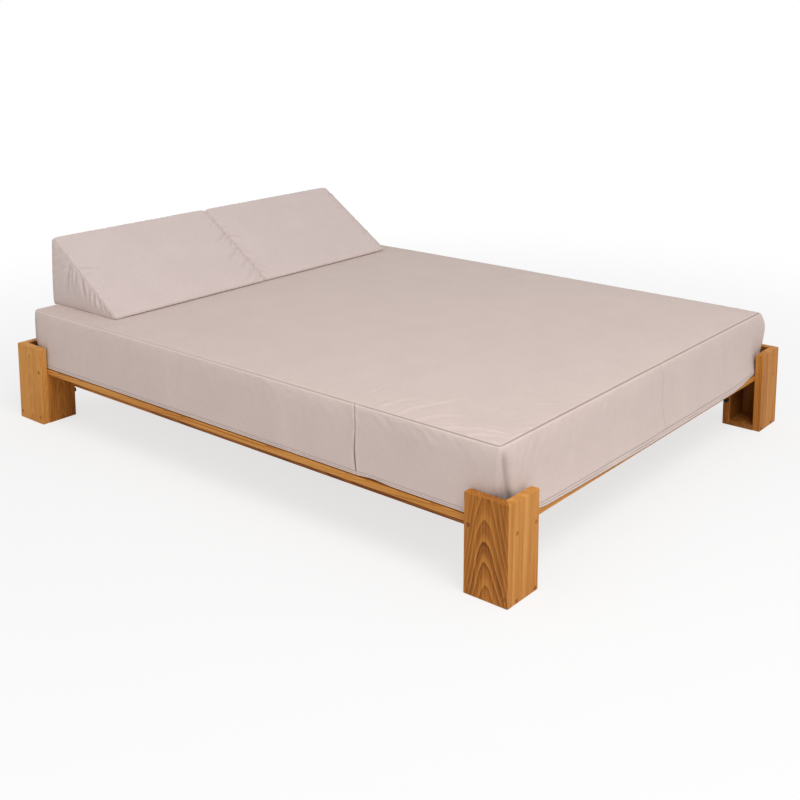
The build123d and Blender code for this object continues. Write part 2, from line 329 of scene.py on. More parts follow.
def meshPiece(name, points, faces, material, uv=None):
    # one closed mesh from whole arrays, quads as rows of four and triangles as rows of three
    mesh = bpy.data.meshes.new(name)
    mesh.from_pydata(points.tolist(), [], [row for block in faces for row in block.tolist()])
    mesh.polygons.foreach_set("use_smooth", np.ones(len(mesh.polygons), bool))
    corners = np.empty(len(mesh.loops), int)
    mesh.loops.foreach_get("vertex_index", corners)
    if uv is not None:
        mesh.uv_layers.new(name="clothUv").data.foreach_set("uv", uv[corners].astype(np.float32).ravel())
    mesh.materials.append(material)
    piece = bpy.data.objects.new(name, mesh)
    bpy.context.scene.collection.objects.link(piece)
    return piece


def readPoints(mesh):
    flat = np.empty(len(mesh.vertices) * 3, np.float32)
    mesh.vertices.foreach_get("co", flat)
    return flat.reshape(-1, 3).astype(float)


def readNormals(mesh):
    flat = np.empty(len(mesh.vertices) * 3, np.float32)
    mesh.vertex_normals.foreach_get("vector", flat)
    return flat.reshape(-1, 3).astype(float)


def writePoints(mesh, points):
    mesh.vertices.foreach_set("co", points.astype(np.float32).ravel())
    mesh.update()


def setTone(mesh, tone):
    # above 0 darker: stitched lines and painted shade; below 0 paler: pale lines and painted highlight
    mesh.attributes.new("seamTone", "FLOAT", "POINT").data.foreach_set("value", tone.astype(np.float32))


def weightGroup(piece, name, weights, levels=25):
    group = piece.vertex_groups.new(name=name)
    steps = np.rint(np.clip(weights, 0, 1) * levels).astype(int)
    for level in np.unique(steps):
        group.add(np.flatnonzero(steps == level).tolist(), float(level / levels), "REPLACE")
    return group


def inflate(piece, look, hold, sew):
    # Blender's cloth fills the cover: hold keeps points near their place, sew draws the seams tight.
    # Each point then moves by cap * tanh(its own move / cap), so nothing swells by more than the cap.
    start = readPoints(piece.data)
    weightGroup(piece, "hold", hold)
    weightGroup(piece, "sew", sew)
    cloth = piece.modifiers.new("cloth", "CLOTH")
    fabric = cloth.settings
    fabric.quality, fabric.mass, fabric.air_damping = 6, look["mass"], 2
    fabric.tension_stiffness = fabric.compression_stiffness = look["stretch"]
    fabric.shear_stiffness, fabric.bending_stiffness = look["shear"], look["bend"]
    fabric.vertex_group_mass, fabric.pin_stiffness = "hold", look["pin"]
    fabric.vertex_group_shrink, fabric.shrink_min, fabric.shrink_max = "sew", -look["slack"], look["gather"]
    fabric.use_pressure, fabric.uniform_pressure_force = True, look["pressure"]
    fabric.effector_weights.gravity = 0
    cloth.collision_settings.use_collision = False
    for step in range(1, look["frames"] + 1):
        bpy.context.scene.frame_set(step)
    shaped = piece.evaluated_get(bpy.context.evaluated_depsgraph_get()).to_mesh()
    moved = readPoints(shaped) - start
    piece.evaluated_get(bpy.context.evaluated_depsgraph_get()).to_mesh_clear()
    piece.modifiers.remove(cloth)
    piece.vertex_groups.clear()
    bpy.context.scene.frame_set(1)
    far = np.linalg.norm(moved, axis=1, keepdims=True) + 1e-9
    mean, most = (round(float(size) * 1000, 1) for size in (far.mean(), far.max()))
    print(piece.name, "swelled by", mean, "mm on average,", most, "at most")
    return start + moved / far * look["cap"] * np.tanh(far / look["cap"])


def spread(edge, step, half):
    # places from 0 to half: the close edge steps first, then even steps
    rest = max(1, round((half - edge[-1]) / step))
    return np.concatenate([edge, np.linspace(edge[-1], half, rest + 1)[1:]])


def gridFaces(index):
    return np.stack([index[:-1, :-1], index[1:, :-1], index[1:, 1:], index[:-1, 1:]], -1).reshape(-1, 4)


def bump(value, middle, width):
    return np.exp(-((value - middle) / width) ** 2)


def bumps(value, rows):
    # bumps added up; a row is a bump's middle, half its width, and its amount
    return sum(amount * bump(value, middle, width) for middle, width, amount in rows)


def ramped(value, low, high):
    share = np.clip((value - low) / (high - low), 0, 1)
    return share * share * (3 - 2 * share)


# mattress

mattress = {
    "halfX": 0.7945, "halfY": 0.9945, "bottom": 0.1966, "seam": 0.3963, "step": 0.0115,
    "crown": 0.009, "crownRun": 0.045, "crownEnd": 0.634,
    # what stops the cover, with a little room: the lowest that it hangs and where, and the legs' tops, inner
    # ends and boards
    "hang": 0.181, "hangFrom": legY - thickness, "legTop": legTop + 0.0025,
    "legSpan": (legX - legWidth - 0.001, legY - legWidth - 0.001),
    "legFace": (legX - thickness - 0.0005, legY - thickness - 0.0005),
    # how far the sides are drawn in at their middles, at the seam and at the hem
    "drawTop": 0.004, "drawLow": 0.0015, "drawEnd": 0.004,
    "slitPlace": -0.513, "slitClear": 0.009, "slitLines": (0.0009, 0.0022, 0.004, 0.007), "slitBow": 0.0035,
    "joinPlace": 0.045, "joinClear": 0.006, "joinLines": (0.0009, 0.0022, 0.0045),
    "closeTo": (-0.63, -0.58), "closeGap": 0.009,  # closer grid lines round the near corner, for its ripples
    # the foot side of the hem: how far it stands out, and how far it hangs down at places across
    "footPush": 0.0085, "footOutShares": ((-0.70, 0), (-0.64, 1), (0.60, 1), (0.70, 0)), "footRun": 0.01,
    "footSag": ((-0.66, 0), (-0.60, 0.003), (-0.46, 0.007), (-0.10, 0.0135), (0.52, 0.0135),
                (0.62, 0.003), (0.66, 0)),
    "sagRows": 0.035,
    # how far the hem floats above the deck, and one longer wave beside the slit
    "hemLift": 0.0030, "hemRows": 0.006,
    "gapLift": 0.0045, "gapPlace": -0.592, "gapWidth": 0.042, "gapRows": 0.012,
    # the fuller corner at the foot's right
    "fullPush": 0.013, "fullShare": 0.74, "fullWidthShare": 0.22, "fullFrom": (0.60, 0.80), "fullReach": 0.19,
    # distances in from the seam on the top, and up from the hem on the band
    "edgeSteps": (0, 0.0013, 0.0027, 0.0042, 0.006, 0.009, 0.0135, 0.02, 0.029, 0.041, 0.056),
    "rows": (0.0011, 0.0023, 0.0036, 0.0048, 0.006, 0.0072, 0.0085, 0.01, 0.0112, 0.0124, 0.0137,
             0.016, 0.02, 0.026, 0.034, 0.045, 0.058, 0.073, 0.089, 0.105, 0.121, 0.136, 0.15,
             0.162, 0.172, 0.18, 0.1862, 0.1905, 0.1935, 0.1955, 0.197, 0.1983),
    # the band's push out to the side and to the end, and its corners' size, at shares of its height
    "levelShares": (0, 0.02, 0.06, 0.16, 0.45, 0.8, 0.93, 0.98, 1),
    "sidePush": (0.0115, 0.0116, 0.0114, 0.011, 0.0105, 0.0095, 0.0065, 0.0035, 0),
    "endPush": (0.0265, 0.028, 0.028, 0.024, 0.016, 0.0115, 0.0075, 0.004, 0),
    "corners": (0.115, 0.115, 0.112, 0.088, 0.034, 0.022, 0.015, 0.010, 0.009),
    "underShares": (0.9998, 0.975, 0.94, 0.85, 0.7, 0.5, 0.25),
    "mass": 0.3, "stretch": 30, "shear": 10, "bend": 0.3, "pin": 1.0, "slack": 0.008, "gather": 0.03,
    "pressure": 1.0, "frames": 12, "cap": 0.005,
    # ripples across the near corner: across and along where each starts, the same where it ends, its height
    # and half its width
    "cornerRipples": (
        (-0.793, -0.790, -0.713, -1.004, 0.0026, 0.0070), (-0.797, -0.869, -0.725, -1.004, 0.0028, 0.0060),
        (-0.795, -0.903, -0.782, -0.990, 0.0022, 0.0045), (-0.794, -0.945, -0.770, -0.995, 0.0018, 0.0035),
        (-0.785, -0.655, -0.640, -0.715, 0.0022, 0.0070), (-0.793, -0.716, -0.690, -0.800, 0.0024, 0.0070),
        (-0.780, -0.586, -0.660, -0.630, 0.0018, 0.0080), (-0.664, -0.965, -0.630, -0.995, 0.0016, 0.0050),
        (-0.723, -0.985, -0.660, -0.996, 0.0016, 0.0045), (-0.690, -0.700, -0.560, -0.740, 0.0010, 0.0100)),
    # how much the ripples rise, and the painted highlight on their ridges
    "rippleLift": 1.5, "rippleHighlight": 150,
    # rows of bumps, as middle, half width and amount: the roll and groove at the seam, the tucks of the
    # doubled hem and their tones, and the swells beside a corner's crease
    "seamRolls": ((0.0058, 0.003, 0.0006), (0.0, 0.0014, -0.0012)),
    "hemRolls": ((0.0036, 0.002, 0.0007), (0.0093, 0.0018, 0.0005),
                 (0.0067, 0.001, -0.0007), (0.0124, 0.001, -0.0007)),
    "hemTones": ((0.0062, 0.0015, 0.5), (0.0124, 0.0015, 0.45),
                 (0.0030, 0.0020, -0.6), (0.0096, 0.0015, -0.4)),
    "creaseRolls": ((-0.018, 0.013, 0.0022), (0.040, 0.013, 0.0022)),
    "puckerFoot": (0.0022, 0.03), "puckerSide": (0.0014, 0.02), "waveLift": 0.0036,
}


def pressed(x, y, halfX, halfY, corner):
    # A square corner of that size pressed into a quarter circle: x shrinks by sqrt(1 - y*y/2) there, and y by
    # sqrt(1 - x*x/2).
    cx = np.clip((np.abs(x) - (halfX - corner)) / corner, 0, 1)
    cy = np.clip((np.abs(y) - (halfY - corner)) / corner, 0, 1)
    return (x - np.sign(x) * corner * cx * (1 - np.sqrt(1 - cy * cy / 2)),
            y - np.sign(y) * corner * cy * (1 - np.sqrt(1 - cx * cx / 2)))


def drawnIn(value, outward, sideways, depth, sharpness):
    # how much nearer the middle line a side comes: depth at the middle of the side, nothing at its corners
    return value - depth * np.sign(value) * np.abs(outward) ** sharpness * (1 - np.abs(sideways) ** 4)


def closerLines(line, place, offsets, clear):
    # near that place the line's own steps give way to closer ones
    near = place + np.concatenate([-np.array(offsets), [0], offsets])
    return np.sort(np.concatenate([line[np.abs(line - place) > clear], near]))


def mattressShape(look):
    # The top is a grid with its corners pressed round. The band carries the grid's outline down, row by row,
    # wider and rounder towards the hem. The underside is that outline shrunk to a point.
    halfX, halfY, edge = look["halfX"], look["halfY"], np.array(look["edgeSteps"])
    lines = []
    for half in (halfX, halfY):
        inner = half - spread(edge, look["step"], half)
        lines.append(np.concatenate([-inner, inner[-2::-1]]))
    lines[0] = closerLines(lines[0], look["joinPlace"], look["joinLines"], look["joinClear"])
    lines[1] = closerLines(lines[1], look["slitPlace"], look["slitLines"], look["slitClear"])
    for number, last in enumerate(look["closeTo"]):
        line = lines[number]
        middles = (line[1:] + line[:-1]) / 2
        wide = (np.diff(line) > look["closeGap"]) & (middles < last)
        lines[number] = np.sort(np.concatenate([line, middles[wide]]))

    gx, gy = np.meshgrid(*lines, indexing="ij")
    shareX, shareY = gx / halfX, gy / halfY
    px, py = pressed(gx, gy, halfX, halfY, look["corners"][-1])
    px = drawnIn(px, shareX, shareY, look["drawTop"], 3)
    py = drawnIn(py, shareY, shareX, look["drawTop"], 3)
    inward = np.minimum(halfX - np.abs(gx), halfY - np.abs(gy))
    lying = np.clip(np.minimum(inward, look["crownEnd"] - gy), 0, None)  # the crown stops under the wedges
    rise = look["crown"] * (1 - np.exp(-lying / look["crownRun"]))
    top = np.stack([px, py, look["seam"] + rise], -1)

    # the grid's outline, once round from the near corner
    lastX, lastY = gx.shape[0] - 1, gx.shape[1] - 1
    aheadX, aheadY = np.arange(lastX), np.arange(lastY)
    stillX, stillY = aheadX * 0, aheadY * 0
    rim = (np.concatenate([aheadX, stillY + lastX, lastX - aheadX, stillY]),
           np.concatenate([stillX, aheadY, stillX + lastY, lastY - aheadY]))
    rimX, rimY = gx[rim], gy[rim]
    run = np.concatenate([[0], np.cumsum(np.hypot(np.diff(rimX), np.diff(rimY)))])
    height = look["seam"] - look["bottom"]
    rows = np.concatenate([[0], look["rows"]])
    side, end, rounding = (np.interp(rows / height, look["levelShares"], look[name])[:, None]
                           for name in ("sidePush", "endPush", "corners"))
    rows = rows[:, None]
    share = rows / height
    wideX, wideY = halfX + side, halfY + end
    bx, by = pressed(rimX * wideX / halfX, rimY * wideY / halfY, wideX, wideY, rounding)
    draw = look["drawLow"] + (look["drawTop"] - look["drawLow"]) * share ** 1.5
    bx = drawnIn(bx, rimX / halfX, rimY / halfY, draw, 12)
    by = drawnIn(by, rimY / halfY, rimX / halfX, look["drawEnd"] * (1 - 0.6 * share ** 1.5), 12)

    # the foot side hangs out over the deck's edge and in front of it; elsewhere the hem floats a little
    foot = ramped(-by, halfY - look["footRun"], halfY) * np.exp(-rows / look["sagRows"])
    out, sag = (foot * np.interp(bx, *np.transpose(look[name])) for name in ("footOutShares", "footSag"))
    lift = look["hemLift"] * np.exp(-rows / look["hemRows"]) * (1 - out)
    gap = (bx < 0) * bump(by, look["gapPlace"], look["gapWidth"]) * np.exp(-rows / look["gapRows"])
    lift = lift + look["gapLift"] * gap
    full = look["fullPush"] * bump(share, look["fullShare"], look["fullWidthShare"]) * (bx > 0) * (by < 0)
    fromX, fromY = look["fullFrom"]
    bx, by = (bx + full * ramped(-by, fromY, fromY + look["fullReach"]),
              by - full * 0.4 * ramped(bx, fromX, fromX + look["fullReach"]))
    by = by - out * look["footPush"]
    bow = look["slitBow"] * np.sin(np.clip(share, 0, 1) * 2 * np.pi)
    by = by + (bx < 0) * bow * bump(by, look["slitPlace"], 0.02)
    band = np.stack([bx, by, look["bottom"] + rows + lift - sag], -1)
    shrink = np.array(look["underShares"])[:, None]
    raised = (shrink == shrink[0]) * lift[:1]
    under = np.stack([bx[:1] * shrink, by[:1] * shrink, look["bottom"] + raised], -1)

    topIndex = np.arange(gx.size).reshape(gx.shape)
    bandIndex = gx.size + np.arange(bx.size).reshape(bx.shape)
    underIndex = bandIndex.max() + 1 + np.arange(under.size // 3).reshape(len(shrink), -1)
    pole = underIndex.max() + 1
    belt = np.concatenate([underIndex[::-1], bandIndex, topIndex[rim][None]])
    belt = np.concatenate([belt, belt[:, :1]], 1)
    points = np.concatenate([part.reshape(-1, 3) for part in (top, band, under)] + [[[0, 0, look["bottom"]]]])
    fan = np.stack([belt[0, 1:], belt[0, :-1], np.full(belt.shape[1] - 1, pole)], -1)
    # facts of each point: 0 top, 1 band, 2 underside; place along the rim; distance in from the seam or up
    # from the hem
    rest = np.zeros(under.size // 3 + 1)
    kind = np.concatenate([np.zeros(gx.size), np.ones(bx.size), rest + 2])
    rimPlace = np.concatenate([np.zeros(gx.size), np.broadcast_to(run, bx.shape).ravel(), rest])
    away = np.concatenate([inward.ravel(), np.broadcast_to(rows, bx.shape).ravel(), rest])
    bandUv = np.stack(np.broadcast_arrays(run[None], rows), -1)
    uv = np.concatenate([np.stack([gx, gy], -1).reshape(-1, 2), bandUv.reshape(-1, 2),
                         under[..., :2].reshape(-1, 2), [[0, 0]]])
    return points, [gridFaces(topIndex), gridFaces(belt.T), fan], uv, kind, rimPlace, away


def lineFrom(x, y, x0, y0, x1, y1):
    # where places are beside a line: the share of it that is passed, the distance to its left; and its length
    length = math.hypot(x1 - x0, y1 - y0)
    cos, sin = (x1 - x0) / length, (y1 - y0) / length
    return ((x - x0) * cos + (y - y0) * sin) / length, (y - y0) * cos - (x - x0) * sin, length


def mattressDetail(look, points, kind, rimPlace, away):
    # How far each point moves along its normal, and its tone: the seam, the hem's stitching, the slit, the
    # join, ripples and puckers. The tone holds painted shade in the seam's grooves, the corners' creases and
    # the slit, and painted highlight on the ripples' ridges.
    x, y = points[:, :2].T
    onTop, onBand = kind == 0, kind == 1
    move, tone = np.zeros(len(points)), np.zeros(len(points))
    height = look["seam"] - look["bottom"]
    below = height - away

    # top: a groove at the seam with painted shade in it, strongest towards the foot, and a small roll inside
    # it with a paler line; soft ripples that run into the near corner, with painted highlight on their ridges
    move += onTop * bumps(away, look["seamRolls"])
    dark = np.maximum(0.35 + 0.65 * ramped(-y, -0.5, 0.9), ramped(np.abs(y), 0.975, 0.985))
    tone += onTop * (0.62 * dark * bump(away, 0.0, 0.0015) - 0.2 * bump(away, 0.0056, 0.0022))
    for x0, y0, x1, y1, high, wide in look["cornerRipples"]:
        passed, aside, length = lineFrom(x, y, x0, y0, x1, y1)
        aside = aside - 0.06 * length * np.sin(np.pi * np.clip(passed, 0, 1))
        fade = ramped(passed, -0.15, 0.2) * (1 - ramped(passed, 0.6, 1.15)) * ramped(away, 0.001, 0.008)
        across = ((0, wide, 1), (1.9 * wide, wide, -0.7), (-1.9 * wide, wide, -0.4))
        ridge = onTop * fade * bumps(aside, across)
        move += look["rippleLift"] * high * ridge
        tone -= look["rippleHighlight"] * high * np.clip(ridge, 0, None)
    for seedX, seedY, size, bearing, deep in look["ripples"]:
        along = (x - seedX) * math.cos(bearing) + (y - seedY) * math.sin(bearing)
        aside = (y - seedY) * math.cos(bearing) - (x - seedX) * math.sin(bearing)
        move += onTop * deep * bump(along, 0, size) * bump(aside, 0, size * 0.16) * ramped(away, 0.004, 0.04)

    # band: puckers square to the seam, slow upright waves, a groove under the seam and the doubled hem
    around = 4 * (look["halfX"] + look["halfY"])
    pucker = np.interp(rimPlace, look["puckerPlaces"], look["puckerHeights"], period=around)
    deep, reach = (np.where(y < -0.97, *pair) for pair in zip(look["puckerFoot"], look["puckerSide"]))
    move += onBand * deep * pucker * np.exp(-below / reach) * ramped(below, 0.001, 0.008)
    slow = np.interp(rimPlace, look["wavePlaces"], look["waveHeights"], period=around)
    move += onBand * look["waveLift"] * slow * np.sin(np.clip(away / height, 0, 1) * np.pi) ** 0.7
    move += onBand * (bumps(away, look["hemRolls"]) - 0.0012 * bump(below, 0.0018, 0.0014))
    # painted shade in the groove under the seam, strongest towards the foot, and a paler line below it
    tone += onBand * (0.66 * dark * bump(below, 0.0004, 0.0013) - 0.5 * bump(below, 0.0040, 0.0019))
    tone += onBand * bumps(away, look["hemTones"])

    # each corner of the band has an upright crease, deepest at the near one, with painted shade in and beside
    # it
    corners = ((0, 1), (2 * look["halfX"], 0.6), (around / 2, 0.5), (around - 2 * look["halfY"], 0.5))
    for place, deep in corners:
        apart = (rimPlace - place - 0.004 + around / 2) % around - around / 2
        fade = onBand * deep * ramped(below, 0.006, 0.04) * ramped(away, 0.02, 0.06)
        crease = bump(apart, 0.012 + 0.004 * np.sin(away * 26), 0.010)
        move += fade * (bumps(apart, look["creaseRolls"]) - 0.0050 * crease)
        tone += fade * (0.26 * crease + 0.15 * bump(apart, 0.010, 0.024))

    # slit in the left side: bowed a little, with rolled lips, open in its lower half; painted shade in it,
    # deeper where it gapes, and a paler line along its lips
    aside = around - rimPlace - look["halfY"] - look["slitPlace"]
    near = onBand & (x < 0) & (np.abs(y) < 0.9)
    gape = bump(away, 0.045, 0.045)
    lips = 0.0011 * bump(np.abs(aside), 0.006, 0.0035)
    move += near * (lips - (0.0012 + 0.0010 * gape) * bump(aside, 0, 0.0013 + 0.0006 * gape))
    tone += near * (0.75 + 0.25 * gape) * bump(aside, 0, 0.0013 + 0.0008 * gape) * ramped(away, 0.010, 0.014)
    tone -= near * 0.25 * bump(np.abs(aside), 0.0065, 0.0022) * ramped(away, 0.012, 0.018)

    # where the two ends of the band are sewn together on the foot side
    join = onBand * bump(rimPlace, look["halfX"] + look["joinPlace"], 0.0016) * ramped(away, 0.010, 0.014)
    move -= 0.0008 * join
    tone += join * (0.16 + 0.5 * bump(below, 0, 0.004))
    return move, np.clip(tone, -0.8, 1)


def seamWaves(places, spacing, gap, seeded):
    # heights between -1 and 1 at uneven places along a seam, to be joined up by straight lines
    count = int(places / spacing)
    steps = seeded.uniform(1 - gap, 1 + gap, count)
    return np.cumsum(steps) * places / steps.sum(), seeded.uniform(-1, 1, count)


rimLength = 4 * (mattress["halfX"] + mattress["halfY"])
mattress["puckerPlaces"], mattress["puckerHeights"] = seamWaves(rimLength, 0.011, 0.5, rng)
mattress["wavePlaces"], mattress["waveHeights"] = seamWaves(rimLength, 0.085, 0.6, rng)
# soft ripples all over the top: across, along, length, bearing and height
rippleRange = ((-0.7, 0.7), (-0.9, 0.5), (0.08, 0.3), (0, math.pi), (-0.0012, 0.0012))
mattress["ripples"] = [[rng.uniform(*ends) for ends in rippleRange] for number in range(34)]


def restIn(look, points):
    # the cover stops at the deck under it, and at the leg boards beside it where they stand higher
    x, y, z = points.T
    low = z < look["legTop"]
    (spanX, spanY), (faceX, faceY) = look["legSpan"], look["legFace"]
    x = np.where(low & (np.abs(y) > spanY), np.clip(x, -faceX, faceX), x)
    y = np.where(low & (np.abs(x) > spanX), np.clip(y, -faceY, faceY), y)
    z = np.maximum(z, np.where(y < -look["hangFrom"], look["hang"], look["bottom"]))
    return np.stack([x, y, z], -1)


points, faces, uv, kind, rimPlace, away = mattressShape(mattress)
mattressPiece = meshPiece("mattress_cushion", points, faces, mattressCloth, uv)
below = mattress["seam"] - mattress["bottom"] - away
# the underside stays, the hem is held and the band lets go above it, and the top is freest near its seam
places = [kind == 1, kind == 2]
hold = np.select(places, [1 - 0.7 * ramped(away, 0.018, 0.05), 1], 0.3 + 0.3 * ramped(away, 0.05, 0.3))
sew = np.select(places, [bump(below, 0, 0.006), 0], bump(away, 0, 0.006))
points = restIn(mattress, inflate(mattressPiece, mattress, hold, sew))
writePoints(mattressPiece.data, points)
move, tone = mattressDetail(mattress, points, kind, rimPlace, away)
points = restIn(mattress, points + readNormals(mattressPiece.data) * move[:, None])
writePoints(mattressPiece.data, points)
setTone(mattressPiece.data, tone)
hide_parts("mattress_cover", "mattress_foam")
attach(mattressPiece, "mattress")
print("mattress made:", len(mattressPiece.data.polygons), "faces")


# wedges

wedge = {
    "width": 0.705, "lowX": {"left": -0.706, "right": 0.001}, "toe": 0.6365, "heel": 1.0115, "back": 1.0035,
    "bottom": 0.3969, "top": 0.6425, "step": 0.0125,
    "radii": (0.007, 0.012, 0.006), "bulges": (0.0, 0.004, 0.005), "endRoll": 0.004, "rollLength": 0.006,
    "bulgeRun": 0.06, "dome": 0.005, "domeRun": 0.02, "halfSplit": 0.0012, "leastSplit": 0.0007,
    "edgeSteps": (0, 0.0012, 0.0026, 0.0042, 0.0065, 0.0095, 0.0135, 0.018, 0.0235, 0.0295, 0.036,
                  0.043, 0.051, 0.06),
    "along": 76, "up": 28,
    "closeAlongShares": (0, 0.004, 0.01, 0.018), "closeUpShares": (0, 0.006, 0.015, 0.03),
    "mass": 0.3, "stretch": 30, "shear": 10, "bend": 0.25, "pin": 1.0, "slack": 0.012, "gather": 0.09,
    "pressure": 1.2, "frames": 14, "cap": 0.010, "pipe": 0.0017, "pipeShare": 0.002,
    # each pucker of a sloping face: across and up the slope where it leaves its seam, the same where it dies
    # out, and its depth
    "puckers": (
        (-0.0015, 0.367, -0.10, 0.290, 0.0012), (-0.0015, 0.291, -0.09, 0.243, 0.0022),
        (-0.0015, 0.243, -0.055, 0.190, 0.0016), (-0.0015, 0.205, -0.115, 0.128, 0.0024),
        (-0.0015, 0.137, -0.092, 0.080, 0.0018), (-0.0015, 0.088, -0.095, 0.030, 0.0020),
        (-0.0015, 0.045, -0.058, 0.014, 0.0014), (0.0015, 0.400, 0.030, 0.352, 0.0016),
        (0.0015, 0.330, 0.045, 0.322, 0.0016), (0.0015, 0.283, 0.080, 0.238, 0.0022),
        (0.0015, 0.245, 0.034, 0.206, 0.0018), (0.0015, 0.212, 0.052, 0.150, 0.0022),
        (0.0015, 0.154, 0.038, 0.120, 0.0018), (0.0015, 0.118, 0.045, 0.082, 0.0018),
        (0.0015, 0.078, 0.048, 0.038, 0.0018), (-0.7055, 0.403, -0.690, 0.372, 0.0018),
        (-0.7055, 0.355, -0.672, 0.337, 0.0014), (-0.7055, 0.276, -0.600, 0.243, 0.0020),
        (-0.7055, 0.236, -0.645, 0.232, 0.0012), (-0.7055, 0.183, -0.675, 0.150, 0.0018),
        (-0.7055, 0.150, -0.660, 0.116, 0.0014), (-0.7055, 0.118, -0.655, 0.100, 0.0012),
        (-0.7055, 0.060, -0.670, 0.052, 0.0012), (0.7055, 0.400, 0.680, 0.368, 0.0016),
        (0.7055, 0.298, 0.628, 0.300, 0.0018), (0.7055, 0.215, 0.655, 0.208, 0.0016),
        (0.7055, 0.150, 0.660, 0.110, 0.0018), (0.7055, 0.090, 0.650, 0.066, 0.0012)),
    # each fold of an end panel: along and up where it leaves the sloping seam, the same where it dies out,
    # its depth and half its width
    "folds": ((0.897, 0.553, 0.924, 0.430, 0.0030, 0.011), (0.884, 0.548, 0.880, 0.420, 0.0028, 0.006),
              (0.862, 0.535, 0.871, 0.417, 0.0026, 0.006), (0.829, 0.512, 0.806, 0.430, 0.0034, 0.008),
              (0.790, 0.487, 0.786, 0.418, 0.0022, 0.006), (0.764, 0.470, 0.757, 0.412, 0.0030, 0.006),
              (0.741, 0.461, 0.716, 0.408, 0.0028, 0.006), (0.715, 0.444, 0.692, 0.402, 0.0024, 0.005),
              (0.690, 0.428, 0.673, 0.399, 0.0020, 0.004)),
    "puckerDepth": 1.6, "puckerWidth": 0.0062, "foldDepth": 1.4, "puckerShade": 24, "foldShade": 32,
}


def evened(path, shares):
    # points at those shares of a path's length
    run = np.concatenate([[0], np.cumsum(np.linalg.norm(np.diff(path, axis=0), axis=1))])
    return np.stack([np.interp(shares, run / run[-1], path[:, axis]) for axis in (0, 1)], -1)


def unit(vector):
    return vector / np.linalg.norm(vector)


def sectionSides(corners, radii, bulges):
    # A triangle with bowed sides and rounded corners, as four paths: the underside, the back, the slope and
    # the toe's arc.
    lines, arcs = [], []
    for number in range(3):
        a, b, c = corners[number - 1], corners[number], corners[(number + 1) % 3]
        toA, toC = unit(a - b), unit(c - b)
        half = math.acos(float(toA @ toC)) / 2
        cut = radii[number] / math.tan(half)
        middle = b + unit(toA + toC) * radii[number] / math.sin(half)
        first, last = b + toA * cut - middle, b + toC * cut - middle
        turn = math.pi - 2 * half
        t = np.linspace(0, 1, 25)[:, None]
        arcs.append(middle + (first * np.sin((1 - t) * turn) + last * np.sin(t * turn)) / math.sin(turn))
    for number in range(3):
        first, last = arcs[number][-1], arcs[(number + 1) % 3][0]
        along = unit(last - first)
        t = np.linspace(0, 1, 60)[1:-1, None]
        bow = np.array([along[1], -along[0]]) * bulges[number] * 4 * t * (1 - t)
        lines.append(first * (1 - t) + last * t + bow)
    toe, heel, top = arcs
    return (np.concatenate([toe[-1:], lines[0], heel[:13]]), np.concatenate([heel[12:], lines[1], top[:13]]),
            np.concatenate([top[12:], lines[2], toe[:1]]), toe)


